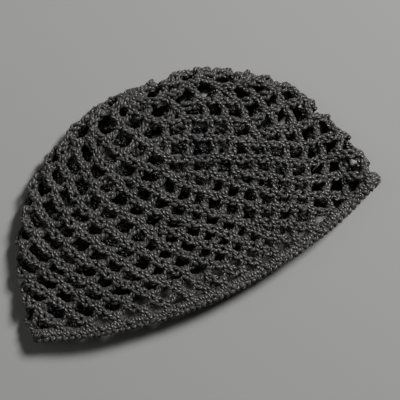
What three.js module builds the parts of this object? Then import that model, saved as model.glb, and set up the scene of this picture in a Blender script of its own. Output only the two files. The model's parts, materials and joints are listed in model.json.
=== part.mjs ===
// A crocheted skullcap of coarse net, lying collapsed on its side in two layers.
// Millimetres, +Z up. X runs along the rim, +Y points from the rim to the crown,
// and the under layer lies flat on z = 0. The origin is the middle of the underside's box.
// The net is worked in rounds from the centre of the crown to a firm edge at the rim.
import * as THREE from 'three';

// Where the cap lies: the middle of the line between the rim's two corners
const RIM_MIDDLE = { x: -0.1, y: -54.1 };

// The collapsed cap
const WALL = 5.0; // thickness of the crocheted ropes
const FOLD_RADIUS = 6.5; // radius of the wall's middle where the layers turn over
const CROWN_TILT = THREE.MathUtils.degToRad(5); // crown centre from the fold, towards the upper layer
const DEPTH = 150; // crown centre to rim edge, along the fabric
const RIM_HALF = 135; // middle of the rim to a corner
const UPPER_SAG = 17.5; // how far the upper rim hangs below the line between the corners
const UNDER_SAG = 4.0; // and the under rim
const SAG_RISE = 34; // distance from the fold over which the sag begins
const LOFT = 10.5; // how far the upper layer stands above two flat layers
const LOFT_RISE = 62; // distance from the fold over which it rises
const RIM_LOFT = 0.52; // share of the loft that is left at the rim

// Outline of the upper silhouette from the middle of the rim: direction in degrees, reach in mm
const OUTLINE = [
  { direction: 0, reach: 134.6 },
  { direction: 10, reach: 133.3 },
  { direction: 25, reach: 132.8 },
  { direction: 40, reach: 137.8 },
  { direction: 56, reach: 136.0 },
  { direction: 68, reach: 136.6 },
  { direction: 86, reach: 132.8 },
  { direction: 100, reach: 134.4 },
  { direction: 118, reach: 134.4 },
  { direction: 133, reach: 135.9 },
  { direction: 148, reach: 135.5 },
  { direction: 164, reach: 132.6 },
  { direction: 180, reach: 134.4 },
];

// Dents and swells of the upper layer: centre from the rim's middle, radii, turn and height
const SWELLS = [
  { name: 'corner_dent', x: 112, y: 14, long: 26, wide: 19, turn: 70, height: -5.5 },
  { name: 'crown_swell', x: -38, y: 84, long: 46, wide: 26, turn: 24, height: 2.2 },
  { name: 'side_swell', x: 62, y: 70, long: 40, wide: 24, turn: -35, height: 2.0 },
  { name: 'middle_hollow', x: 14, y: 46, long: 62, wide: 18, turn: 8, height: -2.2 },
];

// The pieces, by distance from the crown centre along the fabric
const PIECE_GAP = 0.3;
const CENTRE_REACH = 8.0;
const BAND_WIDTH = 6.5;
const NET_START = CENTRE_REACH + PIECE_GAP;
const NET_END = DEPTH - BAND_WIDTH - PIECE_GAP;

// Rounds of gaps cut through the net: gaps in the round, distance of their middle from the
// crown centre, half of a gap's height, and half of its width as a share of the pitch
const NET_ROUNDS = [
  { gaps: 12, middle: 25, halfHeight: 6.4, halfWidth: 0.33 },
  { gaps: 16, middle: 44.5, halfHeight: 7.4, halfWidth: 0.34 },
  { gaps: 20, middle: 65, halfHeight: 7.8, halfWidth: 0.35 },
  { gaps: 22, middle: 86.5, halfHeight: 8.0, halfWidth: 0.35 },
  { gaps: 24, middle: 108.5, halfHeight: 8.0, halfWidth: 0.35 },
  { gaps: 24, middle: 130, halfHeight: 7.8, halfWidth: 0.35 },
];
const START_RING_POINTS = 24;
const START_RING_REACH = 15;
const EDGE_RING_POINTS = 96;
const CORNER = Math.SQRT1_2; // where a round gap's corner points stand, of its half sizes

// Colours and finishes of the yarn
const YARN = { color: 0x17181b, roughness: 0.62, metalness: 0 };
const BAND_YARN = { color: 0x1b1c20, roughness: 0.6, metalness: 0 };
const CENTRE_YARN = { color: 0x121316, roughness: 0.66, metalness: 0 };

// Rises smoothly from 0 to 1 as value goes from 0 to 1
function smooth(value) {
  const t = THREE.MathUtils.clamp(value, 0, 1);
  return t * t * (3 - 2 * t);
}

// Reach of the silhouette in a direction given in degrees, mirrored below the rim line
function outlineReach(direction) {
  const turned = Math.abs(direction);
  const next = Math.max(1, OUTLINE.findIndex((row) => row.direction >= turned));
  const from = OUTLINE[next - 1];
  const to = OUTLINE[next];
  const share = smooth((turned - from.direction) / (to.direction - from.direction));
  return THREE.MathUtils.lerp(from.reach, to.reach, share);
}

// Height of one dent or swell at a place on the upper layer
function swellHeight(swell, x, y) {
  const turn = THREE.MathUtils.degToRad(swell.turn);
  const dx = x - swell.x;
  const dy = y - swell.y;
  const along = (dx * Math.cos(turn) + dy * Math.sin(turn)) / swell.long;
  const across = (dy * Math.cos(turn) - dx * Math.sin(turn)) / swell.wide;
  return swell.height * Math.exp(-(along * along + across * across));
}

// Direction of the open dome for a place on the fabric: turns around the crown, mm from it
function domeDirection(around, along) {
  const lean = (along / DEPTH) * (Math.PI / 2);
  const turn = around * 2 * Math.PI;
  const axis = new THREE.Vector3(0, Math.cos(CROWN_TILT), Math.sin(CROWN_TILT));
  const up = new THREE.Vector3(0, -Math.sin(CROWN_TILT), Math.cos(CROWN_TILT));
  const side = new THREE.Vector3(1, 0, 0);
  const outward = side.multiplyScalar(Math.cos(turn)).addScaledVector(up, Math.sin(turn));
  return axis.multiplyScalar(Math.cos(lean)).addScaledVector(outward, Math.sin(lean));
}

// Place of the wall's middle, once the dome lies flattened in two layers
function lyingPoint(direction) {
  const heading = Math.atan2(direction.y, direction.x);
  const edge = outlineReach(THREE.MathUtils.radToDeg(heading)) - WALL / 2;
  const fullReach = edge + (Math.PI / 2 - 1) * FOLD_RADIUS;
  const lift = Math.asin(THREE.MathUtils.clamp(direction.z, -1, 1));
  const fromFold = (fullReach * lift) / (Math.PI / 2);
  const inner = Math.abs(fromFold);
  const bend = Math.min(inner / FOLD_RADIUS, Math.PI / 2);
  const beyond = Math.max(0, inner - (FOLD_RADIUS * Math.PI) / 2);
  const reach = edge - FOLD_RADIUS * (1 - Math.cos(bend)) - beyond;
  const upper = fromFold > 0;
  const x = reach * Math.cos(heading);
  const lean = Math.acos(THREE.MathUtils.clamp(crownCosine(direction), -1, 1)) / (Math.PI / 2);
  const sag = (upper ? UPPER_SAG : UNDER_SAG) * smooth(lean) * smooth(inner / SAG_RISE);
  const hang = Math.cos((Math.PI * THREE.MathUtils.clamp(x, -RIM_HALF, RIM_HALF)) / (2 * RIM_HALF));
  const y = reach * Math.sin(heading) - sag * hang;
  const turned = Math.sign(fromFold) * FOLD_RADIUS * Math.sin(bend);
  const rise = smooth(inner / LOFT_RISE);
  let z = WALL / 2 + FOLD_RADIUS + turned;
  if (upper) {
    z += LOFT * rise * (1 - (1 - RIM_LOFT) * smooth(lean));
    const free = smooth(beyond / (2 * FOLD_RADIUS));
    SWELLS.forEach((swell) => {
      z += free * swellHeight(swell, x, y);
    });
  }
  return new THREE.Vector3(x + RIM_MIDDLE.x, y + RIM_MIDDLE.y, z);
}

// Cosine of the angle between a direction of the dome and the crown centre
function crownCosine(direction) {
  return direction.y * Math.cos(CROWN_TILT) + direction.z * Math.sin(CROWN_TILT);
}

// Outward normal of the wall at a direction of the dome
function lyingNormal(direction) {
  const step = 1e-4;
  const helper = Math.abs(direction.z) < 0.9 ? new THREE.Vector3(0, 0, 1) : new THREE.Vector3(1, 0, 0);
  const first = new THREE.Vector3().crossVectors(helper, direction).normalize();
  const second = new THREE.Vector3().crossVectors(direction, first);
  const slope = (tangent) => {
    const ahead = direction.clone().addScaledVector(tangent, step).normalize();
    const behind = direction.clone().addScaledVector(tangent, -step).normalize();
    return lyingPoint(ahead).sub(lyingPoint(behind));
  };
  return new THREE.Vector3().crossVectors(slope(first), slope(second)).normalize();
}

// A body made of an outer and an inner skin over the same pattern of points
class Wall {
  constructor() {
    this.positions = [];
    this.faces = [];
  }

  // Adds one pattern point to both skins and gives its number
  point(around, along) {
    const direction = domeDirection(around, along);
    const middle = lyingPoint(direction);
    const normal = lyingNormal(direction);
    const number = this.positions.length / 6;
    const outer = middle.clone().addScaledVector(normal, WALL / 2);
    const inner = middle.clone().addScaledVector(normal, -WALL / 2);
    this.positions.push(outer.x, outer.y, outer.z, inner.x, inner.y, inner.z);
    return { number, around, along };
  }

  // A ring of evenly spaced points
  ring(count, along) {
    return Array.from({ length: count }, (_, i) => this.point(i / count, along));
  }

  // One triangle of the pattern on both skins
  triangle(a, b, c) {
    this.faces.push(2 * a.number, 2 * c.number, 2 * b.number);
    this.faces.push(2 * a.number + 1, 2 * b.number + 1, 2 * c.number + 1);
  }

  // A four-sided patch: a and b on the crown side, c and d on the rim side
  patch(a, b, c, d) {
    this.triangle(a, c, b);
    this.triangle(b, c, d);
  }

  // Closes the wall's thickness from a to b, with the crown on the closed side or behind it
  edge(a, b, crownBehind = false) {
    const [outerA, innerA, outerB, innerB] = [2 * a.number, 2 * a.number + 1, 2 * b.number, 2 * b.number + 1];
    if (crownBehind) {
      this.faces.push(outerA, outerB, innerA, outerB, innerB, innerA);
    } else {
      this.faces.push(outerA, innerA, outerB, outerB, innerA, innerB);
    }
  }

  // Joins two closed rings with unlike numbers of points, crown side first
  zip(upper, lower) {
    const first = upper[0].around;
    const turnFrom = (point) => (point.around - first + 2) % 1;
    const start = lower.reduce((best, point, i) => {
      const gap = Math.min(turnFrom(point), 1 - turnFrom(point));
      return gap < best.gap ? { gap, i } : best;
    }, { gap: 2, i: 0 }).i;
    const shift = turnFrom(lower[start]) > 0.5 ? -1 : 0;
    const upperTurn = (i) => (i < upper.length ? turnFrom(upper[i]) : 1);
    const lowerTurn = (i) => {
      const point = lower[(start + i) % lower.length];
      const base = turnFrom(point) + shift;
      const wrapped = base < turnFrom(lower[start]) + shift ? base + 1 : base;
      return i < lower.length ? wrapped : turnFrom(lower[start]) + shift + 1;
    };
    let i = 0;
    let j = 0;
    while (i < upper.length || j < lower.length) {
      const here = upper[i % upper.length];
      const below = lower[(start + j) % lower.length];
      const takeUpper = j >= lower.length || (i < upper.length && upperTurn(i + 1) <= lowerTurn(j + 1));
      if (takeUpper) {
        this.triangle(here, below, upper[(i + 1) % upper.length]);
        i += 1;
      } else {
        this.triangle(here, below, lower[(start + j + 1) % lower.length]);
        j += 1;
      }
    }
  }

  // Closes the thickness all round a ring that ends the piece towards the crown or the rim
  closeRing(ring, crownBehind) {
    ring.forEach((point, i) => this.edge(point, ring[(i + 1) % ring.length], crownBehind));
  }

  geometry() {
    const geometry = new THREE.BufferGeometry();
    geometry.setAttribute('position', new THREE.Float32BufferAttribute(this.positions, 3));
    geometry.setIndex(this.faces);
    geometry.computeVertexNormals();
    return geometry;
  }
}

// One round of eight-sided gaps: gives the rows of points on its crown side and its rim side
function gapRound(wall, round, phase) {
  const { gaps, middle, halfHeight, halfWidth } = round;
  const upper = [];
  const lower = [];
  const posts = [];
  for (let i = 0; i < gaps; i += 1) {
    const at = (share, rise) => wall.point((i + phase + share) / gaps, middle + rise * halfHeight);
    const row = (rise) => [
      at(-0.5, rise * CORNER),
      at(-CORNER * halfWidth, rise * CORNER),
      at(0, rise),
      at(CORNER * halfWidth, rise * CORNER),
    ];
    upper.push(...row(-1));
    lower.push(...row(1));
    posts.push({ middle: at(-0.5, 0), left: at(-halfWidth, 0), right: at(halfWidth, 0) });
  }
  for (let i = 0; i < gaps; i += 1) {
    const post = posts[i];
    const next = posts[(i + 1) % gaps];
    const top = (column) => upper[(4 * i + column) % upper.length];
    const bottom = (column) => lower[(4 * i + column) % lower.length];
    wall.patch(top(0), top(1), post.middle, post.left);
    wall.patch(post.middle, post.left, bottom(0), bottom(1));
    wall.patch(top(3), top(4), post.right, next.middle);
    wall.patch(post.right, next.middle, bottom(3), bottom(4));
    const rim = [top(1), top(2), top(3), post.right, bottom(3), bottom(2), bottom(1), post.left];
    rim.forEach((point, k) => wall.edge(rim[(k + 1) % rim.length], point));
  }
  return { upper, lower };
}

// The closed start of the crown
function crownCentre() {
  const wall = new Wall();
  const pole = wall.point(0, 0);
  const inner = wall.ring(START_RING_POINTS / 2, CENTRE_REACH / 2);
  const outer = wall.ring(START_RING_POINTS, CENTRE_REACH);
  inner.forEach((point, i) => wall.triangle(pole, point, inner[(i + 1) % inner.length]));
  wall.zip(inner, outer);
  wall.closeRing(outer, true);
  return wall.geometry();
}

// The pierced net between the crown's start and the rim band
function netCrown() {
  const wall = new Wall();
  const start = wall.ring(START_RING_POINTS, NET_START);
  const spread = wall.ring(2 * START_RING_POINTS, START_RING_REACH);
  wall.closeRing(start, false);
  wall.zip(start, spread);
  let last = spread;
  NET_ROUNDS.forEach((round, i) => {
    const { upper, lower } = gapRound(wall, round, i % 2 ? 0.5 : 0);
    wall.zip(last, upper);
    last = lower;
  });
  const edge = wall.ring(EDGE_RING_POINTS, NET_END);
  wall.zip(last, edge);
  wall.closeRing(edge, true);
  return wall.geometry();
}

// The firm edge of close stitches that ends the cap
function rimBand() {
  const wall = new Wall();
  const start = wall.ring(EDGE_RING_POINTS, DEPTH - BAND_WIDTH);
  const end = wall.ring(EDGE_RING_POINTS, DEPTH);
  wall.closeRing(start, false);
  wall.zip(start, end);
  wall.closeRing(end, true);
  return wall.geometry();
}

// A named mesh with its own yarn finish
function piece(name, geometry, finish) {
  const mesh = new THREE.Mesh(geometry, new THREE.MeshStandardMaterial(finish));
  mesh.name = name;
  return mesh;
}

const hat = new THREE.Group();
hat.name = 'crochet_hat';
hat.add(piece('crown_centre', crownCentre(), CENTRE_YARN));
hat.add(piece('net_crown', netCrown(), YARN));
hat.add(piece('rim_band', rimBand(), BAND_YARN));

export default hat;
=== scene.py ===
"""A crocheted net skullcap lying collapsed on its side, worked stitch by stitch in plied yarn.

The pattern is written in the cap's own terms: turns around the crown, and distance from the crown
centre along the fabric. Lengths are millimetres, apart from those whose names end in _m. The
finished meshes are in metres. Points and vectors are rows of arrays.
"""

from __future__ import annotations

import json
import logging
import math
from dataclasses import dataclass, field
from enum import Enum

import bmesh
import bpy
import numpy as np
from mathutils import Matrix, Vector

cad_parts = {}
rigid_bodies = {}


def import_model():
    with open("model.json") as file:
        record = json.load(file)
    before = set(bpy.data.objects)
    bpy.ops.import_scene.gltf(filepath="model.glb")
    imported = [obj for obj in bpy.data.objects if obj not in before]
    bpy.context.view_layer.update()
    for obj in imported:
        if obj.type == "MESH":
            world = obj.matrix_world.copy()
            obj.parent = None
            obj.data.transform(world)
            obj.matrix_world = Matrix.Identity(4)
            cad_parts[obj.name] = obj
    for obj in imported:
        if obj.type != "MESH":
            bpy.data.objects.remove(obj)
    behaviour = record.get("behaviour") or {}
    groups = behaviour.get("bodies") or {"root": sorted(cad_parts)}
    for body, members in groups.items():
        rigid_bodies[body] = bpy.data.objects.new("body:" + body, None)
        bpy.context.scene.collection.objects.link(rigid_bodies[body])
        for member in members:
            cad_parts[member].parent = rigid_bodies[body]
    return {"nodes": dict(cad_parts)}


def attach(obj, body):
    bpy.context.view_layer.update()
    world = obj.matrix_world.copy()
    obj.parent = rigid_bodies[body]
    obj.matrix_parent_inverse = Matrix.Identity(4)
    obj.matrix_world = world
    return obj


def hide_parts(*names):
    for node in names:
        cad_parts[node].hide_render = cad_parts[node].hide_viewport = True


LOG = logging.getLogger("crochet_hat")
MM = 0.001  # a millimetre in metres
SEED = 40
Triple = tuple[float, float, float]

# Weights of a value and of each of its neighbours where a closed row is evened out
OWN_WEIGHT = 0.5
NEIGHBOUR_WEIGHT = 0.25

# A Mix node's two colour inputs and its colour output, by number
MIX_FIRST, MIX_SECOND, MIX_COLOUR = 6, 7, 2

# One chain stitch, an open loop in front and its bump behind: shares of its length along the row,
# of its half width to the crown and of its half height outward
CHAIN_SHAPE = np.array([
    [-0.12, 0.50, -0.95], [0.08, 0.72, -0.35], [0.34, 0.88, 0.45], [0.68, 0.92, 1.00],
    [1.06, 0.66, 0.62], [1.25, 0.00, -0.05], [1.06, -0.66, 0.62], [0.68, -0.92, 1.00],
    [0.34, -0.88, 0.45], [0.08, -0.66, -0.25], [0.12, -0.55, -0.95], [0.48, -0.05, -1.25],
])


def smooth(value: np.ndarray) -> np.ndarray:
    """Rises smoothly from 0 to 1 as value goes from 0 to 1.

    Args:
        value: Shares of the way, past either end too.

    Returns:
        The eased shares.
    """
    share = np.clip(value, 0.0, 1.0)
    return share * share * (3.0 - 2.0 * share)


def unit(vectors: np.ndarray) -> np.ndarray:
    """Vectors at length 1.

    Args:
        vectors: The vectors.

    Returns:
        Their directions.
    """
    return vectors / np.linalg.norm(vectors, axis=-1, keepdims=True)


@dataclass(frozen=True)
class Swell:
    """A dent or swell of the upper layer: centre from the rim's middle, radii, turn and height."""

    x: float
    y: float
    long: float
    wide: float
    turn: float
    height: float

    def lift(self, x: np.ndarray, y: np.ndarray) -> np.ndarray:
        """Height of the swell at places on the layer.

        Args:
            x: Places along the rim.
            y: Places from the rim to the crown.

        Returns:
            Heights in mm.
        """
        turn = math.radians(self.turn)
        dx, dy = x - self.x, y - self.y
        along = (dx * math.cos(turn) + dy * math.sin(turn)) / self.long
        across = (dy * math.cos(turn) - dx * math.sin(turn)) / self.wide
        return self.height * np.exp(-(along**2 + across**2))


@dataclass(frozen=True)
class LyingCap:
    """The middle surface of the cap's fabric as it lies, folded flat in two layers."""

    rim_middle: tuple[float, float] = (-0.1, -54.1)
    wall: float = 5.0
    fold_radius: float = 6.5
    crown_tilt: float = math.radians(5.0)
    depth: float = 150.0
    rim_half: float = 135.0
    upper_sag: float = 17.5
    under_sag: float = 9.0
    sag_rise: float = 34.0
    loft: float = 10.5
    loft_rise: float = 62.0
    rim_loft: float = 0.52
    probe: float = 1e-4
    outline_degrees: tuple[float, ...] = (0, 10, 25, 40, 56, 68, 86, 100, 118, 133, 148, 164, 180)
    outline_reaches: tuple[float, ...] = (
        134.6, 133.3, 132.8, 137.8, 136.0, 136.6, 132.8, 134.4, 134.4, 135.9, 135.5, 132.6, 134.4,
    )
    swells: tuple[Swell, ...] = (
        Swell(112, 14, 26, 19, 70, -5.5),
        Swell(-38, 84, 46, 26, 24, 2.2),
        Swell(62, 70, 40, 24, -35, 2.0),
        Swell(14, 46, 62, 18, 8, -2.2),
    )

    def axes(self) -> tuple[np.ndarray, np.ndarray, np.ndarray]:
        """The axes of the open dome.

        Returns:
            The crown axis, the side axis and the third axis.
        """
        cos, sin = math.cos(self.crown_tilt), math.sin(self.crown_tilt)
        return np.array([0.0, cos, sin]), np.array([1.0, 0.0, 0.0]), np.array([0.0, -sin, cos])

    def outline_reach(self, heading: np.ndarray) -> np.ndarray:
        """Reach of the silhouette, mirrored below the rim line.

        Args:
            heading: Headings from the rim's middle in radians.

        Returns:
            Distances from the rim's middle.
        """
        turned = np.abs(np.degrees(heading))
        directions, reaches = np.array(self.outline_degrees), np.array(self.outline_reaches)
        row = np.clip(np.searchsorted(directions, turned), 1, len(directions) - 1)
        share = smooth((turned - directions[row - 1]) / (directions[row] - directions[row - 1]))
        return reaches[row - 1] + (reaches[row] - reaches[row - 1]) * share

    def directions(self, around: np.ndarray, along: np.ndarray) -> tuple[np.ndarray, ...]:
        """Directions of the open dome, with their steps around the crown and towards the rim.

        Args:
            around: Turns around the crown.
            along: Distances from the crown centre.

        Returns:
            The directions, the unit steps around and the unit steps towards the rim.
        """
        crown, side, third = self.axes()
        lean = (along / self.depth * math.pi / 2)[:, None]
        turn = (around * -2 * math.pi)[:, None]
        outward = np.cos(turn) * side + np.sin(turn) * third
        onward = np.sin(turn) * side - np.cos(turn) * third
        direction = np.cos(lean) * crown + np.sin(lean) * outward
        return direction, onward, np.cos(lean) * outward - np.sin(lean) * crown

    def lay(self, direction: np.ndarray) -> np.ndarray:
        """Where the fabric's middle lies for directions of the open dome.

        Args:
            direction: Unit directions.

        Returns:
            Points in the part's frame.
        """
        crown = self.axes()[0]
        heading = np.arctan2(direction[:, 1], direction[:, 0])
        edge = self.outline_reach(heading) - self.wall / 2
        full_reach = edge + (math.pi / 2 - 1) * self.fold_radius
        lift = np.arcsin(np.clip(direction[:, 2], -1, 1))
        from_fold = full_reach * lift / (math.pi / 2)
        inner = np.abs(from_fold)
        bend = np.minimum(inner / self.fold_radius, math.pi / 2)
        beyond = np.maximum(0.0, inner - self.fold_radius * math.pi / 2)
        reach = edge - self.fold_radius * (1 - np.cos(bend)) - beyond
        upper = from_fold > 0
        x = reach * np.cos(heading)
        lean = np.arccos(np.clip(direction @ crown, -1, 1)) / (math.pi / 2)
        sag = np.where(upper, self.upper_sag, self.under_sag)
        sag = sag * smooth(lean) * smooth(inner / self.sag_rise)
        hang = np.cos(math.pi * np.clip(x, -self.rim_half, self.rim_half) / (2 * self.rim_half))
        y = reach * np.sin(heading) - sag * hang
        puff = self.loft * smooth(inner / self.loft_rise) * (1 - (1 - self.rim_loft) * smooth(lean))
        free = smooth(beyond / (2 * self.fold_radius))
        puff = puff + free * sum(swell.lift(x, y) for swell in self.swells)
        z = self.wall / 2 + self.fold_radius * (1 + np.sign(from_fold) * np.sin(bend))
        z = z + np.where(upper, puff, 0.0)
        return np.stack([x + self.rim_middle[0], y + self.rim_middle[1], z], axis=1)

    def fabric(self, around: np.ndarray, along: np.ndarray) -> tuple[np.ndarray, ...]:
        """Places of the fabric with their directions.

        Args:
            around: Turns around the crown.
            along: Distances from the crown centre.

        Returns:
            Points, unit steps onward around the crown and unit outward normals.
        """
        direction, *ways = self.directions(np.asarray(around, float), np.asarray(along, float))
        place = self.lay(direction)
        slope_on, slope_rim = (
            self.lay(unit(direction + self.probe * way))
            - self.lay(unit(direction - self.probe * way))
            for way in ways
        )
        return place, unit(slope_on), unit(np.cross(slope_rim, slope_on))


@dataclass
class RopePath:
    """A closed line on the fabric that a row of stitches follows."""

    cap: LyingCap
    around: np.ndarray
    along: np.ndarray
    place: np.ndarray = field(init=False)
    normal: np.ndarray = field(init=False)
    tangent: np.ndarray = field(init=False)
    distance: np.ndarray = field(init=False)
    length: float = field(init=False)

    def __post_init__(self) -> None:
        """Lays the line and measures it."""
        self.place, _, self.normal = self.cap.fabric(self.around, self.along)
        ahead = np.roll(self.place, -1, axis=0)
        behind = np.roll(self.place, 1, axis=0)
        self.tangent = unit(ahead - behind)
        steps = np.linalg.norm(ahead - self.place, axis=1)
        self.distance = np.concatenate([[0.0], np.cumsum(steps)[:-1]])
        self.length = float(steps.sum())

    def along_at(self, around: np.ndarray) -> np.ndarray:
        """How far from the crown centre the line runs.

        Args:
            around: Turns around the crown.

        Returns:
            Distances from the crown centre.
        """
        return np.interp(np.mod(around, 1.0), np.mod(self.around, 1.0), self.along, period=1.0)

    def distance_at(self, around: np.ndarray) -> np.ndarray:
        """How far along the line some turns are.

        Args:
            around: Turns around the crown.

        Returns:
            Distances along the line, from its first point.
        """
        turns = np.mod(np.asarray(around) - self.around[0], 1.0)
        known = np.append(self.around - self.around[0], 1.0)
        return np.interp(turns, known, np.append(self.distance, self.length))

    def frames(self, distance: np.ndarray) -> tuple[np.ndarray, ...]:
        """Places on the line with their directions.

        Args:
            distance: Distances along the line, past either end too.

        Returns:
            Places, directions along the line, directions to the crown and normals.
        """
        place, tangent, normal = (
            np.stack([np.interp(distance, self.distance, c, period=self.length) for c in rows.T], 1)
            for rows in (self.place, self.tangent, self.normal)
        )
        tangent = unit(tangent)
        crownward = unit(np.cross(normal, tangent))
        return place, tangent, crownward, unit(np.cross(tangent, crownward))


@dataclass(frozen=True)
class Yarn:
    """A plied yarn, swept as a soft round strand along the stitches' paths."""

    radius: float = 1.42
    sides: int = 6
    step: float = 1.2
    swell: float = 0.15
    swell_pitch: float = 2.35
    floor_softness: float = 0.45
    substeps: int = 6
    fewest_rings: int = 8
    first_side: Triple = (0.3, 0.2, 0.93)

    def resample(self, controls: np.ndarray) -> np.ndarray:
        """A smooth closed line through control points, in even steps.

        Args:
            controls: Points that the yarn passes.

        Returns:
            Points a step apart.
        """
        before, after, beyond = (np.roll(controls, shift, axis=0) for shift in (1, -1, -2))
        share = np.linspace(0, 1, self.substeps, endpoint=False)[None, :, None]
        p0, p1, p2, p3 = (rows[:, None, :] for rows in (before, controls, after, beyond))
        fine = 0.5 * (
            2 * p1
            + (p2 - p0) * share
            + (2 * p0 - 5 * p1 + 4 * p2 - p3) * share**2
            + (3 * p1 - p0 - 3 * p2 + p3) * share**3
        )
        fine = fine.reshape(-1, 3)
        lengths = np.linalg.norm(np.roll(fine, -1, axis=0) - fine, axis=1)
        measured = np.concatenate([[0.0], np.cumsum(lengths)])
        count = max(self.fewest_rings, round(measured[-1] / self.step))
        wanted = np.arange(count) * measured[-1] / count
        closed = np.vstack([fine, fine[:1]])
        return np.stack([np.interp(wanted, measured, closed[:, i]) for i in range(3)], axis=1)

    def settle(self, line: np.ndarray) -> np.ndarray:
        """Presses what would sink into the surface below flat onto it.

        Args:
            line: Points of the strand's middle.

        Returns:
            The points, raised where they were too low.
        """
        lifted = line.copy()
        above = (line[:, 2] - self.radius) / self.floor_softness
        lifted[:, 2] = self.radius + self.floor_softness * np.logaddexp(0.0, above)
        return lifted

    def sweep(self, line: np.ndarray) -> tuple[np.ndarray, np.ndarray]:
        """The strand's skin round a closed line.

        Args:
            line: Points of the line.

        Returns:
            Skin points as an array of rings, and the distance of each ring along the line.
        """
        tangent = unit(np.roll(line, -1, axis=0) - np.roll(line, 1, axis=0))
        side = np.zeros_like(line)
        current = np.cross(tangent[0], self.first_side)
        for i, ahead in enumerate(tangent):
            current = current - ahead * current.dot(ahead)
            current = current / math.sqrt(current.dot(current))
            side[i] = current
        closing = side[-1] - tangent[0] * side[-1].dot(tangent[0])
        twist = math.atan2(np.cross(closing, side[0]).dot(tangent[0]), closing.dot(side[0]))
        other = np.cross(tangent, side)
        turn = np.linspace(0, twist, len(line), endpoint=False)[:, None]
        angle = turn + np.arange(self.sides)[None, :] * 2 * math.pi / self.sides
        steps = np.linalg.norm(np.roll(line, -1, axis=0) - line, axis=1)
        distance = np.concatenate([[0.0], np.cumsum(steps)])
        waves = round(distance[-1] / self.swell_pitch)
        wave = np.cos(distance[:-1] * 2 * math.pi * waves / distance[-1])
        radius = (self.radius * (1 + self.swell * wave))[:, None, None]
        rings = line[:, None, :] + radius * (
            np.cos(angle)[:, :, None] * side[:, None, :]
            + np.sin(angle)[:, :, None] * other[:, None, :]
        )
        return rings, distance

    def mesh(self, name: str, paths: list[np.ndarray]) -> bpy.types.Mesh:
        """One joined mesh of closed strands, whose UV map is distance and turn round the strand.

        Args:
            name: Name of the mesh.
            paths: Control points of each strand.

        Returns:
            The mesh, in metres.
        """
        points, corners, uvs, start = [], [], [], 0
        for controls in paths:
            rings, distance = self.sweep(self.settle(self.resample(controls)))
            count = len(rings)
            column = np.arange(self.sides)[None, :]
            beside = (column + 1) % self.sides
            here = np.arange(count)[:, None] * self.sides
            ahead = np.roll(here, -1, axis=0)
            corner = (here + column, here + beside, ahead + beside, ahead + column)
            corners.append(start + np.stack(corner, axis=-1).reshape(-1, 4))
            left = column / self.sides
            near, far, left, right = np.broadcast_arrays(
                distance[:-1, None], distance[1:, None], left, left + 1 / self.sides
            )
            uv = np.stack([near, left, near, right, far, right, far, left], axis=-1)
            uvs.append(uv.reshape(-1, 2) * [MM, 1])
            points.append(rings.reshape(-1, 3) * MM)
            start += count * self.sides
        return joined_mesh(name, np.vstack(points), np.vstack(corners), np.vstack(uvs))


def joined_mesh(
    name: str, points: np.ndarray, quads: np.ndarray, uvs: np.ndarray
) -> bpy.types.Mesh:
    """A smooth-shaded mesh from arrays.

    Args:
        name: Name of the mesh.
        points: Vertex places in metres.
        quads: Four vertex numbers a row.
        uvs: A UV pair for each corner.

    Returns:
        The new mesh.
    """
    mesh = bpy.data.meshes.new(name)
    mesh.vertices.add(len(points))
    mesh.vertices.foreach_set("co", points.astype(np.float32).ravel())
    mesh.loops.add(quads.size)
    mesh.loops.foreach_set("vertex_index", quads.astype(np.int32).ravel())
    mesh.polygons.add(len(quads))
    mesh.polygons.foreach_set("loop_start", np.arange(0, quads.size, 4, dtype=np.int32))
    mesh.polygons.foreach_set("use_smooth", np.ones(len(quads), dtype=bool))
    mesh.uv_layers.new(name="Strand").data.foreach_set("uv", uvs.astype(np.float32).ravel())
    mesh.update(calc_edges=True)
    mesh.validate()
    return mesh


@dataclass(frozen=True)
class Stitches:
    """The paths that the yarn takes through a chain stitch and the legs of a single crochet."""

    half_width: float = 2.05
    half_height: float = 1.6
    grip_height: float = 2.4
    grip_reach: float = 2.2
    lean: float = 0.3

    def chain(
        self, start: float, length: float, squeeze: float, spread: float = 1.0
    ) -> np.ndarray:
        """Control points of one chain stitch.

        Args:
            start: Where it begins along the row.
            length: Its length along the row.
            squeeze: Its width as a share of the plain one.
            spread: Its thickness as a share of the plain one.

        Returns:
            Points along the row, to the crown and outward.
        """
        size = [length, self.half_width * squeeze, self.half_height * spread]
        return np.array([start, 0, 0]) + CHAIN_SHAPE * size

    def legs(self, post: float, gap: float) -> np.ndarray:
        """Control points of a single crochet's legs, which wrap the row nearer the crown.

        One goes up behind that row, over it and down in front, and the other mirrors it.

        Args:
            post: Distance from its head to the row that it grips.
            gap: Half the distance between its legs.

        Returns:
            Points along the row, to the crown and outward, from its own head.
        """
        height, reach = self.grip_height, self.grip_reach
        one = np.array([
            [-0.8 * gap, 0.4, -1.2], [-0.8 * gap, post, -height],
            [-0.8 * gap, post + 0.85 * reach, -0.6 * height],
            [-0.8 * gap, post + reach, 0.1 * height],
            [-0.85 * gap, post + 0.7 * reach, 0.85 * height],
            [-gap, post - 0.3, height], [-1.35 * gap, 1.3, 1.5], [-1.1 * gap, -0.4, 0.7],
        ])
        both = np.vstack([one, one[::-1] * [-1, 1, 1]])
        both[:, 0] += self.lean * both[:, 1] / post
        return both


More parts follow.
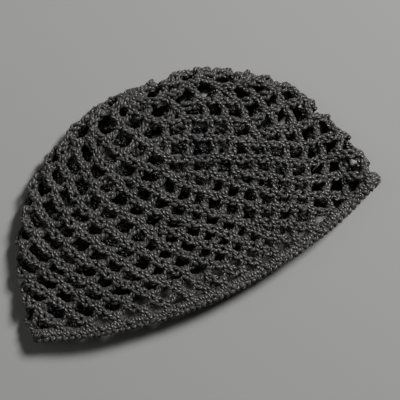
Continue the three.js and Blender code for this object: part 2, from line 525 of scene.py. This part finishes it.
@dataclass(frozen=True)
class Courses:
    """How far the rounds lie from the crown centre, and how many loops each has."""

    rounds: int = 16
    first: float = 10.5
    net_last: float = 134.3
    last: float = 146.4
    first_pitch: float = 10.4
    last_pitch: float = 8.1
    pitch_fall: float = 1.6
    loop_width: float = 17.2
    fewest: int = 6
    rim_loops: int = 32
    girth_points: int = 180

    def alongs(self) -> np.ndarray:
        """How far the heads of the rounds lie from the crown centre.

        Returns:
            A distance for each round.
        """
        fall = (1 - np.linspace(0, 1, self.rounds - 2)) ** self.pitch_fall
        pitches = self.last_pitch + (self.first_pitch - self.last_pitch) * fall
        pitches *= (self.net_last - self.first) / pitches.sum()
        return np.concatenate([[self.first], self.first + np.cumsum(pitches), [self.last]])

    def counts(self, cap: LyingCap) -> list[int]:
        """Loops of the rounds, never fewer than in the round before.

        Args:
            cap: The cap that they lie on.

        Returns:
            A number for each round.
        """
        counts = [self.fewest]
        turns = np.linspace(0, 1, self.girth_points, endpoint=False)
        for along in self.alongs()[1:]:
            girth = RopePath(cap, turns, np.full_like(turns, along)).length
            counts.append(min(self.rim_loops, max(counts[-1], round(girth / self.loop_width))))
        return counts


@dataclass
class Heads:
    """One round's single crochets: turns, distances from the centre, and the loops they grip."""

    around: np.ndarray
    along: np.ndarray
    parent: np.ndarray


@dataclass
class Fabric:
    """The whole pattern: heads of every round, and the line that each round's yarn follows."""

    cap: LyingCap
    courses: Courses = Courses()
    post: float = 3.5
    last_post: float = 6.2
    unevenness: float = 0.7
    arc_points: int = 14
    roundness: float = 0.7
    lead: float = 0.06
    margin: float = 0.25
    settling: int = 3
    evening: int = 3
    start_turn: float = 0.04
    twin_shares: tuple[float, float] = (0.27, 0.73)
    last_drop: float = 0.3
    chance: np.random.Generator = field(default_factory=lambda: np.random.default_rng(SEED))
    heads: list[Heads] = field(init=False)
    paths: list[RopePath] = field(init=False)

    def __post_init__(self) -> None:
        """Works out the heads from the crown outward, then hangs the loops between them."""
        alongs, counts = self.courses.alongs(), self.courses.counts(self.cap)
        LOG.info("rounds at %s mm with %s loops", np.round(alongs, 1).tolist(), counts)
        count = counts[0]
        first = np.arange(count) / count + self.start_turn
        self.heads = [Heads(first, np.full(count, alongs[0]), np.zeros(count, int))]
        for along, count in zip(alongs[1:], counts[1:]):
            self.heads.append(self.next_heads(self.heads[-1], along, count))
        self.paths = [self.round_line(k) for k in range(len(self.heads))]

    def next_heads(self, before: Heads, along: float, count: int) -> Heads:
        """Heads of the next round, one in each loop and two in evenly chosen loops.

        Args:
            before: The round that they grip.
            along: Their distance from the crown centre.
            count: How many there are.

        Returns:
            The heads.
        """
        loops = len(before.around)
        extra = count - loops
        offset = self.chance.random()
        doubled = {int((j + offset) * loops / extra) % loops for j in range(extra)}
        ends = np.append(before.around, before.around[0] + 1)
        around, parent = [], []
        for i in range(loops):
            for share in self.twin_shares if i in doubled else (0.5,):
                around.append(ends[i] + (ends[i + 1] - ends[i]) * (share + self.lead))
                parent.append(i)
        turns = np.array(around)
        for _ in range(self.evening):
            later = np.append(turns[1:], turns[0] + 1)
            earlier = np.insert(turns[:-1], 0, turns[-1] - 1)
            turns = OWN_WEIGHT * turns + NEIGHBOUR_WEIGHT * (later + earlier)
        loop_turn = 1 / count
        uneven_turn = self.unevenness * loop_turn / self.courses.loop_width
        turns = turns + self.chance.normal(0, uneven_turn, count)
        begins, spans = ends[:-1][parent], np.diff(ends)[parent]
        turns = np.clip(turns, begins + self.margin * spans, begins + (1 - self.margin) * spans)
        heights = along + self.chance.normal(0, self.unevenness, count)
        if along == self.courses.last:
            heights = np.full(count, along)
        return Heads(turns, heights, np.array(parent))

    def hang(self, share: np.ndarray) -> np.ndarray:
        """How far a loop has dropped, between its head and where it is gripped.

        Args:
            share: Shares of the way from the head to the grip.

        Returns:
            Shares of the whole drop.
        """
        return (1 - self.roundness) * share + self.roundness * np.sin(math.pi / 2 * share)

    def stretch(self, around: np.ndarray, along: np.ndarray) -> np.ndarray:
        """True length of a millimetre towards the crown.

        Args:
            around: Turns around the crown.
            along: Distances from the crown centre.

        Returns:
            A length for each place.
        """
        near, _, _ = self.cap.fabric(around, along)
        far, _, _ = self.cap.fabric(around, along - self.post)
        return np.linalg.norm(near - far, axis=1) / self.post

    def round_line(self, k: int) -> RopePath:
        """The line of a round, drawn down until the next round's legs have their length.

        Args:
            k: Number of the round.

        Returns:
            The closed line.
        """
        if k == len(self.heads) - 1:
            return self.loops(k, np.zeros(0))
        after = self.heads[k + 1]
        post = self.last_post if k + 1 == len(self.heads) - 1 else self.post
        wanted = after.along - post / self.stretch(after.around, after.along)
        grips = wanted
        line = self.loops(k, grips)
        for _ in range(self.settling - 1):
            grips = np.minimum(grips + wanted - line.along_at(after.around), after.along)
            line = self.loops(k, grips)
        return line

    def loops(self, k: int, grips: np.ndarray) -> RopePath:
        """A line up at the heads of a round, and down where the next round grips its loops.

        Args:
            k: Number of the round.
            grips: How far from the crown centre the next round grips it.

        Returns:
            The closed line.
        """
        heads = self.heads[k]
        ends = np.append(heads.around, heads.around[0] + 1)
        tops = np.append(heads.along, heads.along[0])
        after = None if k == len(self.heads) - 1 else self.heads[k + 1]
        share = np.linspace(0, 1, self.arc_points, endpoint=False)
        around, along = [], []
        for i in range(len(heads.around)):
            turn = ends[i] + (ends[i + 1] - ends[i]) * share
            if after is None:
                low_turn = np.array([(ends[i] + ends[i + 1]) / 2])
                low = np.array([tops[i] + self.last_drop])
            else:
                mine = after.parent == i
                low_turn, low = after.around[mine], grips[mine]
            line = np.interp(turn, low_turn, low)
            down = np.clip((turn - ends[i]) / (low_turn[0] - ends[i]), 0, 1)
            up = np.clip((ends[i + 1] - turn) / (ends[i + 1] - low_turn[-1]), 0, 1)
            left = tops[i] + (line - tops[i]) * self.hang(down)
            right = tops[i + 1] + (line - tops[i + 1]) * self.hang(up)
            around.append(turn)
            along.append(np.where(down < 1, left, np.where(up < 1, right, line)))
        height = np.concatenate(along)
        beside = np.roll(height, 1) + np.roll(height, -1)
        eased = OWN_WEIGHT * height + NEIGHBOUR_WEIGHT * beside
        return RopePath(self.cap, np.concatenate(around), eased)


@dataclass
class Worker:
    """Works the yarn through the stitches of a round."""

    cap: LyingCap
    stitches: Stitches = Stitches()
    head_length: float = 4.2
    chain_length: float = 4.3
    leg_gap: float = 1.2
    flat_roll: float = 0.15
    edge_roll: float = 1.2
    edge_squeeze: float = 1.05
    edge_spread: float = 1.3
    flat_squeeze: float = 0.7
    flat_spread: float = 0.85
    held_squeeze: float = 0.25
    held_length: float = 3.2
    bar_lift: float = 1.3
    post_sink: float = 0.5
    pinch_sink: float = 0.5
    roll_chance: float = 0.4
    pressed: float = 0.5
    liveliness: float = 0.17
    head_lead: float = 0.55
    climb_from: float = 0.25
    climb_over: float = 0.5
    chance: np.random.Generator = field(default_factory=lambda: np.random.default_rng(SEED + 1))

    def put(
        self, path: RopePath, local: np.ndarray, roll: float, lift: float = 0.0
    ) -> np.ndarray:
        """Places points of a row, wider where the cap's weight presses them on the floor.

        Args:
            path: The line of the row.
            local: Points along the row, to the crown and outward.
            roll: How far they are turned about the row, in radians.
            lift: How far they are moved outward.

        Returns:
            Points of the yarn.
        """
        cos, sin = math.cos(roll), math.sin(roll)
        place, _, crownward, normal = path.frames(local[:, 0])
        wider = 1 + self.pressed * np.clip(-normal[:, 2], 0, 1)
        across = (local[:, 1] * cos - local[:, 2] * sin) * wider
        outward = local[:, 1] * sin + local[:, 2] * cos + lift
        return self.live(place + across[:, None] * crownward + outward[:, None] * normal)

    def grip(self, around: float, head: float, held: float, gap: float) -> np.ndarray:
        """Places the legs of a single crochet, from its head to the row that it holds.

        Args:
            around: Its turn around the crown.
            head: Distance of its head from the crown centre.
            held: Distance of the held row from the crown centre.
            gap: Half the distance between its legs.

        Returns:
            Points of the yarn.
        """
        ends, _, _ = self.cap.fabric(np.array([around, around]), np.array([head, held]))
        post = float(np.linalg.norm(ends[1] - ends[0]))
        local = self.stitches.legs(post, gap)
        along = head - local[:, 1] * (head - held) / post
        place, onward, normal = self.cap.fabric(np.full(len(local), around), along)
        return self.live(place + local[:, :1] * onward + local[:, 2:] * normal)

    def live(self, points: np.ndarray) -> np.ndarray:
        """Moves points a little, as yarn never lies quite the same twice.

        Args:
            points: Points of the yarn.

        Returns:
            The moved points.
        """
        return points + self.chance.normal(0, self.liveliness, points.shape)

    def single(
        self, path: RopePath, held: RopePath, turn: float, length: float, gap: float,
        spread: float = 1.0,
    ) -> list[np.ndarray]:
        """One single crochet: its legs round the held row, then its head along its own row.

        Args:
            path: The line of its own row.
            held: The line of the row that it holds.
            turn: Its turn around the crown.
            length: Length of its head along the row.
            gap: Half the distance between its legs.
            spread: Thickness of its head as a share of the plain one.

        Returns:
            Points of the legs and points of the head.
        """
        start = float(path.distance_at(turn)) - self.head_lead * length
        legs = self.grip(turn, float(path.along_at(turn)), float(held.along_at(turn)), gap)
        head = self.put(path, self.stitches.chain(start, length, 1.0, spread), self.edge_roll)
        return [legs, head]

    def round_of_loops(
        self, path: RopePath, held: RopePath, turns: np.ndarray, gripped: np.ndarray
    ) -> np.ndarray:
        """The yarn of one round: a single crochet at each head and chains between them.

        Args:
            path: The line of the round.
            held: The line of the round that it grips.
            turns: Turns of its heads around the crown.
            gripped: Turns where the next round grips it.

        Returns:
            Points of the yarn, once round.
        """
        starts = path.distance_at(turns)
        ends = np.append(starts[1:], starts[0] + path.length)
        grips = path.distance_at(gripped)
        yarn = []
        for turn, start, end in zip(turns, starts, ends):
            yarn.extend(self.single(
                path, held, float(turn), self.head_length, self.leg_gap, self.edge_spread
            ))
            begin = start + self.head_length / 2
            free = end - self.head_length / 2 - begin
            chains = max(1, round(free / self.chain_length))
            size = free / chains
            for j in range(chains):
                climb = float(smooth(((j + 0.5) / chains - self.climb_from) / self.climb_over))
                roll = self.edge_roll + (self.flat_roll - self.edge_roll) * climb
                squeeze = self.edge_squeeze + (self.flat_squeeze - self.edge_squeeze) * climb
                away = float(np.abs(grips - (begin + (j + 0.5) * size)).min())
                pinch = math.exp(-((away / self.held_length) ** 2))
                squeeze *= 1 - self.held_squeeze * pinch
                squeeze += self.chance.normal(0, self.liveliness)
                spread = self.edge_spread + (self.flat_spread - self.edge_spread) * climb
                local = self.stitches.chain(begin + j * size, size, squeeze, spread)
                free_lift = self.bar_lift - (self.bar_lift + self.post_sink) * climb
                lift = free_lift - (free_lift + self.pinch_sink) * pinch
                roll += self.chance.normal(0, self.roll_chance)
                yarn.append(self.put(path, local, roll, lift))
        return np.vstack(yarn)


@dataclass
class NetPiece:
    """Some neighbouring rounds of the net as one mesh."""

    name: str
    first: int
    last: int

    def build(
        self, fabric: Fabric, worker: Worker, yarn: Yarn, centre: RopePath
    ) -> bpy.types.Object:
        """Works the rounds.

        Args:
            fabric: The pattern.
            worker: What works the stitches.
            yarn: The yarn.
            centre: The line of the crown's heads, which the first round grips.

        Returns:
            The piece.
        """
        paths = []
        for k in range(self.first, self.last + 1):
            held = fabric.paths[k - 1] if k else centre
            gripped = fabric.heads[min(k + 1, len(fabric.heads) - 1)].around
            turns = fabric.heads[k].around
            paths.append(worker.round_of_loops(fabric.paths[k], held, turns, gripped))
        return finished(self.name, yarn.mesh(self.name, paths), "net_crown")


@dataclass
class RimBand:
    """The edge: single crochets side by side over the last loops, their heads along the rim."""

    name: str = "rim_edge"
    stitches_a_loop: int = 4
    head_share: float = 0.72
    spread: float = 1.35
    heads: float = 149.0
    leg_gap: float = 1.0

    def build(self, fabric: Fabric, worker: Worker, yarn: Yarn) -> bpy.types.Object:
        """Works the band over the last round of the net.

        Args:
            fabric: The pattern.
            worker: What works the stitches.
            yarn: The yarn.

        Returns:
            The piece.
        """
        count = self.stitches_a_loop * len(fabric.heads[-1].around)
        turns = fabric.heads[-1].around[0] + (np.arange(count) + 0.5) / count
        path = RopePath(fabric.cap, turns, np.full(count, self.heads))
        size = self.head_share * (path.length / count)
        held = fabric.paths[-1]
        yarns = []
        for turn in turns:
            yarns.extend(worker.single(path, held, float(turn), size, self.leg_gap, self.spread))
        mesh = yarn.mesh(self.name, [np.vstack(yarns)])
        return finished(self.name, mesh, "rim_band")


@dataclass
class CrownCentre:
    """The start of the crown: a drawn-up ring with single crochets around it."""

    name: str = "crown_start"
    ring: float = 2.3
    stitches: int = 8
    heads: float = 6.3
    leg_gap: float = 0.8
    line_points: int = 48
    ring_stride: int = 3

    def line(self, cap: LyingCap, along: float) -> RopePath:
        """A level line round the crown.

        Args:
            cap: The cap that it lies on.
            along: Its distance from the crown centre.

        Returns:
            The closed line.
        """
        turns = np.linspace(0, 1, self.line_points, endpoint=False)
        return RopePath(cap, turns, np.full_like(turns, along))

    def build(self, fabric: Fabric, worker: Worker, yarn: Yarn) -> bpy.types.Object:
        """Works the centre.

        Args:
            fabric: The pattern.
            worker: What works the stitches.
            yarn: The yarn.

        Returns:
            The piece.
        """
        path, ring = self.line(fabric.cap, self.heads), self.line(fabric.cap, self.ring)
        size = path.length / self.stitches
        yarns = []
        for turn in np.linspace(0, 1, self.stitches, endpoint=False):
            yarns.extend(worker.single(path, ring, float(turn), size, self.leg_gap))
        strands = [np.vstack(yarns), ring.place[::self.ring_stride]]
        return finished(self.name, yarn.mesh(self.name, strands), "crown_centre")


def finished(name: str, mesh: bpy.types.Mesh, node: str) -> bpy.types.Object:
    """Makes a mesh a piece of the cap.

    Args:
        name: Name of the piece.
        mesh: Its mesh, in place.
        node: The solid that it stands for.

    Returns:
        The new object.
    """
    piece = bpy.data.objects.new(name, mesh)
    bpy.context.scene.collection.objects.link(piece)
    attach(piece, "root")
    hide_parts(node)
    LOG.info("%s: %d triangles", name, 2 * len(mesh.polygons))
    return piece


@dataclass
class Maths:
    """A shader value that can be reckoned with as a number."""

    nodes: Shader
    socket: bpy.types.NodeSocket

    def _do(self, operation: str, other: object = None, swap: bool = False) -> Maths:
        """A Math node over this value and perhaps another, the other one first if swapped."""
        values = [self.socket] if other is None else [self.socket, getattr(other, "socket", other)]
        if swap:
            values.reverse()
        return self.nodes.maths(operation, *values)

    def __add__(self, other: object) -> Maths:
        return self._do("ADD", other)

    __radd__ = __add__

    def __mul__(self, other: object) -> Maths:
        return self._do("MULTIPLY", other)

    __rmul__ = __mul__

    def __sub__(self, other: object) -> Maths:
        return self._do("SUBTRACT", other)

    def __rsub__(self, other: object) -> Maths:
        return self._do("SUBTRACT", other, swap=True)

    def __pow__(self, other: object) -> Maths:
        return self._do("POWER", other)

    def sine(self) -> Maths:
        """Sine of the value in radians."""
        return self._do("SINE")

    def cosine(self) -> Maths:
        """Cosine of the value in radians."""
        return self._do("COSINE")

    def magnitude(self) -> Maths:
        """The value without its sign."""
        return self._do("ABSOLUTE")


class Shader:
    """A material's node tree, built node by node."""

    def __init__(self, name: str) -> None:
        """Starts an empty material.

        Args:
            name: Name of the material.
        """
        self.material = bpy.data.materials.new(name)
        self.material.use_nodes = True
        self.tree = self.material.node_tree
        self.tree.nodes.clear()

    def add(
        self, kind: str, settings: dict | None = None, inputs: dict | None = None
    ) -> bpy.types.Node:
        """Adds a node.

        Args:
            kind: Type of the node.
            settings: Its settings by name, applied first.
            inputs: Its inputs by name or number, each a value or a socket.

        Returns:
            The node.
        """
        node = self.tree.nodes.new(kind)
        for key, value in (settings or {}).items():
            setattr(node, key, value)
        for key, value in (inputs or {}).items():
            value = getattr(value, "socket", value)
            if isinstance(value, bpy.types.NodeSocket):
                self.tree.links.new(value, node.inputs[key])
            else:
                node.inputs[key].default_value = value
        return node

    def maths(self, operation: str, *values: object) -> Maths:
        """A Math node's result.

        Args:
            operation: What it does.
            values: Its inputs in order, each a number or a shader value.

        Returns:
            The result.
        """
        node = self.add("ShaderNodeMath", {"operation": operation}, dict(enumerate(values)))
        return Maths(self, node.outputs[0])

    def noise(self, vector: bpy.types.NodeSocket, scale: float, detail: float) -> Maths:
        """A noise value.

        Args:
            vector: Where it is read.
            scale: How fine it is.
            detail: How many finer layers it has.

        Returns:
            The value, from 0 to 1.
        """
        inputs = {"Vector": vector, "Scale": scale, "Detail": detail}
        return Maths(self, self.add("ShaderNodeTexNoise", {}, inputs).outputs[0])

    def mix(self, share: Maths, first: object, second: object) -> bpy.types.NodeSocket:
        """A mixture of two colours.

        Args:
            share: Share of the second colour.
            first: The first colour, a value or a socket.
            second: The second colour, a value or a socket.

        Returns:
            The mixed colour.
        """
        inputs = {"Factor": share, MIX_FIRST: first, MIX_SECOND: second}
        return self.add("ShaderNodeMix", {"data_type": "RGBA"}, inputs).outputs[MIX_COLOUR]


@dataclass(frozen=True)
class YarnFinish:
    """Black plied yarn, softly shiny along the plies, with painted shade in its ply grooves and on
    the under layer near the floor.
    """

    name: str
    # Painted shade: near-black base colour in the grooves between the plies, where shade falls.
    groove_shade: Triple = (0.0040, 0.0038, 0.0040)
    ply: Triple = (0.055, 0.052, 0.0495)
    worn: Triple = (0.408, 0.388, 0.372)
    # Painted shade: yarn lying low near the floor (the under layer) gets this near-black base
    # colour, fading to the yarn's own colour above it.
    under_layer_shade: Triple = (0.010, 0.0095, 0.010)
    shade_below_m: float = 0.0055
    fade_m: float = 0.005
    plies: int = 2
    lay_m: float = 0.0060
    ridge_roughness: float = 0.26
    groove_roughness: float = 0.85
    sheen: float = 0.16
    fibre_roughness: float = 0.1
    specular: float = 0.9
    sheen_roughness: float = 0.45
    sheen_tint: Triple = (0.62, 0.62, 0.64)
    ply_depth_m: float = 0.0012
    ply_power: float = 0.7
    fibre_depth_m: float = 0.00012
    fibre_strength: float = 0.7
    fibre_scale: float = 2600.0
    fibre_detail: float = 3.0
    fibre_tone: tuple[float, float] = (0.6, 0.7)
    skin_radius_m: float = 0.0011
    skin_lean: float = 0.15
    skin_length: float = 0.35
    skin_turn_m: float = 0.0004
    patch_scale: float = 38.0
    patch_detail: float = 2.0
    worn_power: float = 2.0

    def build(self) -> bpy.types.Material:
        """Builds the material.

        Returns:
            The material.
        """
        shader = Shader(self.name)
        strand_map = shader.add("ShaderNodeUVMap", {"uv_map": "Strand"}).outputs[0]
        strand = shader.add("ShaderNodeSeparateXYZ", {}, {0: strand_map})
        length, turn = Maths(shader, strand.outputs[0]), Maths(shader, strand.outputs[1])
        around = turn * (2 * math.pi)
        winding = turn * math.pi * self.plies + length * (math.pi * self.plies / self.lay_m)
        ply = winding.sine().magnitude() ** self.ply_power
        skin = shader.add("ShaderNodeCombineXYZ", {}, {
            0: around.cosine() * self.skin_radius_m + length * self.skin_lean,
            1: around.sine() * self.skin_radius_m,
            2: length * self.skin_length + winding * self.skin_turn_m,
        })
        fibres = shader.noise(skin.outputs[0], self.fibre_scale, self.fibre_detail)
        where = shader.add("ShaderNodeTexCoord").outputs["Object"]
        patches = shader.noise(where, self.patch_scale, self.patch_detail)
        gain, base = self.fibre_tone
        # Painted shade: the base colour darkens from the ply colour to near black in the ply
        # grooves.
        tone = shader.mix(ply * (fibres * gain + base), (*self.groove_shade, 1), (*self.ply, 1))
        upper = shader.mix((patches * fibres) ** self.worn_power, tone, (*self.worn, 1))
        # Painted shade: the base colour turns near black towards the floor, so the under layer
        # looks shaded.
        height = Maths(shader, shader.add("ShaderNodeSeparateXYZ", {}, {0: where}).outputs[2])
        unshaded_share = (height - self.shade_below_m) * (1 / self.fade_m)
        plied = shader.add("ShaderNodeBump", {}, {
            "Strength": 1.0, "Distance": self.ply_depth_m, "Height": ply,
        })
        bump = shader.add("ShaderNodeBump", {}, {
            "Strength": self.fibre_strength,
            "Distance": self.fibre_depth_m,
            "Height": fibres,
            "Normal": plied.outputs[0],
        })
        rougher = (1 - ply) * (self.groove_roughness - self.ridge_roughness)
        surface = shader.add("ShaderNodeBsdfPrincipled", {}, {
            "Base Color": shader.mix(unshaded_share, (*self.under_layer_shade, 1), upper),
            "Roughness": rougher + self.ridge_roughness + fibres * self.fibre_roughness,
            "Specular IOR Level": self.specular,
            "Sheen Weight": self.sheen,
            "Sheen Roughness": self.sheen_roughness,
            "Sheen Tint": (*self.sheen_tint, 1),
            "Normal": bump.outputs[0],
        })
        shader.add("ShaderNodeOutputMaterial", {}, {"Surface": surface.outputs[0]})
        return shader.material


class Side(Enum):
    """Where a light stands from the cap: right, up and towards the viewer."""

    WINDOW = (0.50, 0.50, 0.70)
    OVERHEAD = (-0.80, 0.10, 0.90)


@dataclass(frozen=True)
class SoftLight:
    """A square soft light that faces the cap: its power in watts, its width and its distance."""

    name: str
    side: Side
    power: float
    size_m: float
    away_m: float


@dataclass
class Studio:
    """The pale floor, the soft lights and the camera straight above."""

    floor_size_m: float = 4.0
    floor_colour: Triple = (0.40, 0.40, 0.38)
    floor_roughness: float = 0.7
    floor_specular: float = 0.25
    room: float = 0.02
    lights: tuple[SoftLight, ...] = (
        SoftLight("window", Side.WINDOW, 46.5, 0.44, 2.0),
        SoftLight("overhead", Side.OVERHEAD, 1.8, 0.9, 1.4),
    )
    picture_up: tuple[float, float] = (0.421, 0.907)
    picture_middle_m: Triple = (0.0134, -0.0125, 0.018)
    picture_width_m: float = 0.280
    camera_height_m: float = 0.70
    sensor_mm: float = 36.0

    def floor(self) -> None:
        """Lays the floor."""
        grid = bmesh.new()
        bmesh.ops.create_grid(grid, x_segments=1, y_segments=1, size=self.floor_size_m / 2)
        mesh = bpy.data.meshes.new("floor")
        grid.to_mesh(mesh)
        grid.free()
        shader = Shader("floor_finish")
        surface = shader.add("ShaderNodeBsdfPrincipled", {}, {
            "Base Color": (*self.floor_colour, 1),
            "Roughness": self.floor_roughness,
            "Specular IOR Level": self.floor_specular,
        })
        shader.add("ShaderNodeOutputMaterial", {}, {"Surface": surface.outputs[0]})
        mesh.materials.append(shader.material)
        floor = bpy.data.objects.new("floor", mesh)
        bpy.context.scene.collection.objects.link(floor)

    def picture_axes(self) -> tuple[Vector, Vector, Vector]:
        """The picture's directions in the part's frame.

        Returns:
            Right, up and towards the viewer.
        """
        up = Vector((*self.picture_up, 0)).normalized()
        return Vector((up.y, -up.x, 0)), up, Vector((0, 0, 1))

    def light(self, soft: SoftLight) -> None:
        """Adds a light.

        Args:
            soft: The light.
        """
        lamp = bpy.data.lights.new(soft.name, "AREA")
        lamp.energy = soft.power
        lamp.size = soft.size_m
        stand = bpy.data.objects.new(soft.name, lamp)
        shares = zip(self.picture_axes(), soft.side.value)
        direction = sum((axis * share for axis, share in shares), Vector()).normalized()
        stand.location = Vector(self.picture_middle_m) + direction * soft.away_m
        stand.rotation_euler = direction.to_track_quat("Z", "Y").to_euler()
        bpy.context.scene.collection.objects.link(stand)

    def camera(self) -> None:
        """Hangs the camera straight above."""
        lens = bpy.data.cameras.new("camera")
        lens.sensor_width = self.sensor_mm
        lens.lens = self.sensor_mm * self.camera_height_m / self.picture_width_m
        camera = bpy.data.objects.new("camera", lens)
        axes = self.picture_axes()
        camera.matrix_world = Matrix(axes).transposed().to_4x4()
        camera.location = Vector(self.picture_middle_m) + axes[2] * self.camera_height_m
        bpy.context.scene.collection.objects.link(camera)
        bpy.context.scene.camera = camera

    def build(self) -> None:
        """Sets up the whole studio."""
        self.floor()
        for soft in self.lights:
            self.light(soft)
        world = bpy.data.worlds.new("room")
        world.use_nodes = True
        background = world.node_tree.nodes["Background"]
        background.inputs["Color"].default_value = (1.0, 1.0, 1.0, 1)
        background.inputs["Strength"].default_value = self.room
        bpy.context.scene.world = world
        self.camera()


@dataclass
class CrochetHat:
    """The whole cap: its shape, its yarn and its pieces."""

    cap: LyingCap = LyingCap()
    yarn: Yarn = Yarn()
    centre: CrownCentre = field(default_factory=CrownCentre)
    net: tuple[NetPiece, ...] = (
        NetPiece("net_top", 0, 5),
        NetPiece("net_upper", 6, 8),
        NetPiece("net_middle", 9, 11),
        NetPiece("net_lower", 12, 15),
    )
    band: RimBand = field(default_factory=RimBand)

    def build(self) -> None:
        """Works the cap from the crown centre to the rim and dresses it."""
        fabric = Fabric(self.cap)
        worker = Worker(self.cap)
        centre = self.centre.build(fabric, worker, self.yarn)
        line = self.centre.line(self.cap, self.centre.heads)
        rounds = [part.build(fabric, worker, self.yarn, line) for part in self.net]
        band = self.band.build(fabric, worker, self.yarn)
        net_finish = YarnFinish("net_yarn_finish").build()
        for piece in rounds:
            piece.data.materials.append(net_finish)
        band.data.materials.append(YarnFinish("band_yarn_finish").build())
        centre.data.materials.append(YarnFinish("crown_yarn_finish").build())


def main() -> None:
    """Builds the cap and its studio, and logs the names of the solids."""
    logging.basicConfig(level=logging.INFO, format="%(name)s: %(message)s")
    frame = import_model()
    LOG.info("nodes: %s", sorted(frame["nodes"]))
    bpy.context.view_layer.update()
    CrochetHat().build()
    Studio().build()


if __name__ == "__main__":
    main()
